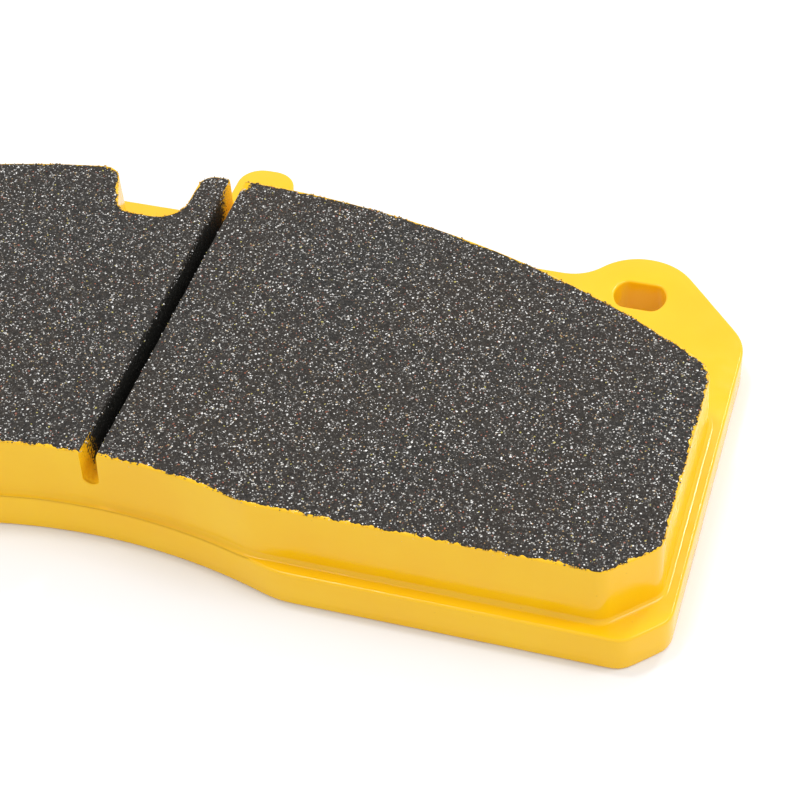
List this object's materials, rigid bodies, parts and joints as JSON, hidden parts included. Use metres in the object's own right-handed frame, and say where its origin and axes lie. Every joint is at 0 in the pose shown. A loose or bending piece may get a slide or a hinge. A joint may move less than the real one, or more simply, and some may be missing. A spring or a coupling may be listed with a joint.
{
  "type": "disc brake pad",
  "caption": "Long disc brake pad for a fixed caliper: steel backing plate with pin ears and a spring tab, and a slotted friction block.",
  "frame": {"origin": "middle of the pad's outline, on the piston face", "axes": "+X along the pad, +Y away from the wheel hub, +Z from the piston face to the disc face"},
  "size_m": [0.1796, 0.0914, 0.017],
  "materials": {
    "yellow_powder_coat": "semi-gloss yellow powder coat on steel",
    "adhesive": "cured phenolic adhesive",
    "underlayer_compound": "moulded fibre compound, hidden under the coat",
    "friction_compound": "ground composite with metal and mineral flecks"
  },
  "bodies": {
    "root": {"backing_plate": "yellow_powder_coat", "bond_film": "adhesive", "underlayer": "underlayer_compound", "friction_block": "friction_compound"}
  },
  "joints": []
}
